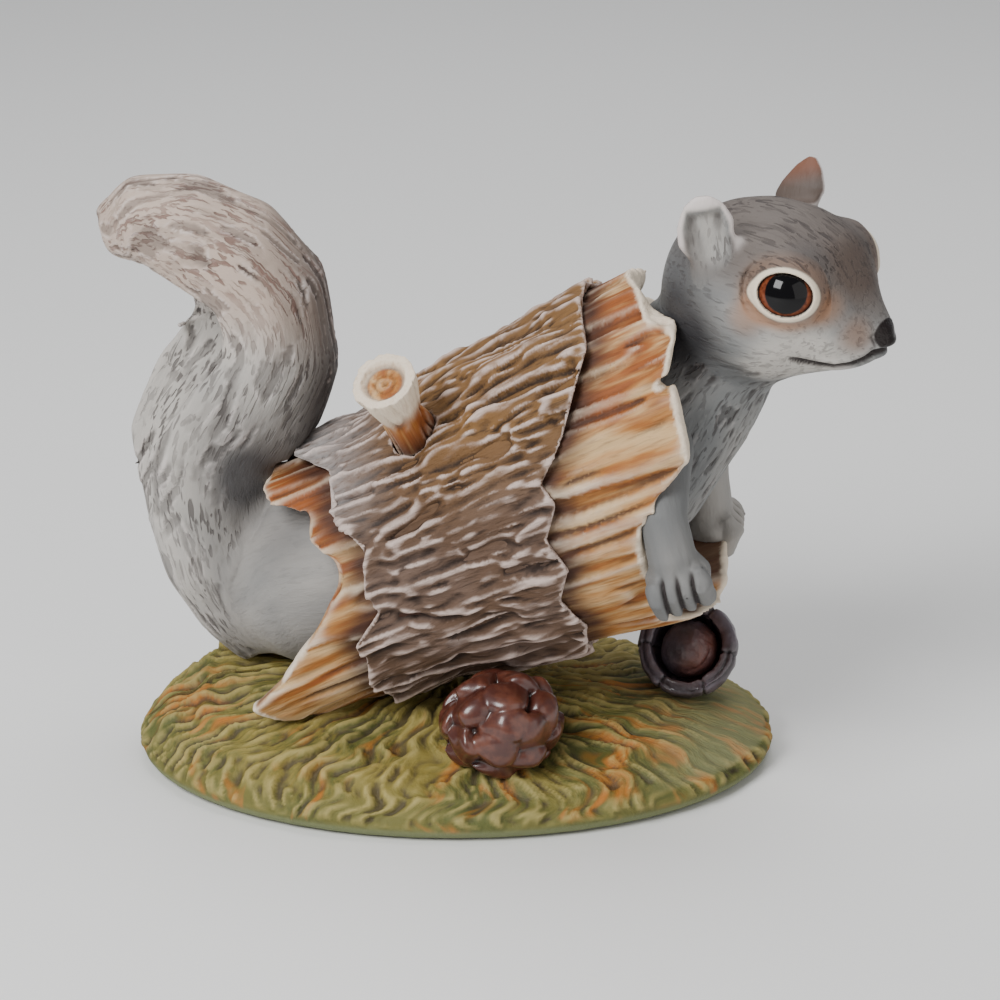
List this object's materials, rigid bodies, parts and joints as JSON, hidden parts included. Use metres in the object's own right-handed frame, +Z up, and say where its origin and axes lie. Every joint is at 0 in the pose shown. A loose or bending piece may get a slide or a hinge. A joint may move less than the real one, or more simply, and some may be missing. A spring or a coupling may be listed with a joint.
{
  "type": "squirrel figurine",
  "caption": "Hand-painted bisque figurine of a grey squirrel coming out of a hollow bark-covered log on an oval grass mound, with a pine cone and a nut beside it.",
  "frame": {"origin": "middle of the oval foot, on the surface the figurine stands on", "axes": "+X towards the squirrel's nose, +Y to the back of the figurine, +Z up"},
  "size_m": [0.1473, 0.085, 0.1205],
  "materials": {
    "painted_bisque_grass": "matte yellow-olive underglaze paint on bisque",
    "painted_bisque_fur": "matte pale grey underglaze paint on bisque, with dark brushed strokes",
    "painted_bisque_wood": "matte cream and orange-brown paint on bisque",
    "painted_bisque_bark": "matte mauve-brown paint on bisque, dry-brushed pale on the ridges",
    "painted_bisque_nut": "satin slate-brown paint on bisque",
    "glazed_cone": "glossy chestnut glaze",
    "glazed_eye": "clear gloss glaze over a black pupil and an amber-brown iris"
  },
  "bodies": {
    "root": {"base_mound": "painted_bisque_grass", "torso": "painted_bisque_fur", "log_wood": "painted_bisque_wood", "bark_jacket": "painted_bisque_bark", "branch_stub": "painted_bisque_wood", "tail": "painted_bisque_fur", "head": "painted_bisque_fur", "left_eye": "glazed_eye", "right_eye": "glazed_eye", "left_ear": "painted_bisque_fur", "right_ear": "painted_bisque_fur", "right_forelimb": "painted_bisque_fur", "left_forelimb": "painted_bisque_fur", "pine_cone": "glazed_cone", "nut_husk": "painted_bisque_nut", "nut_kernel": "painted_bisque_nut"}
  },
  "joints": []
}
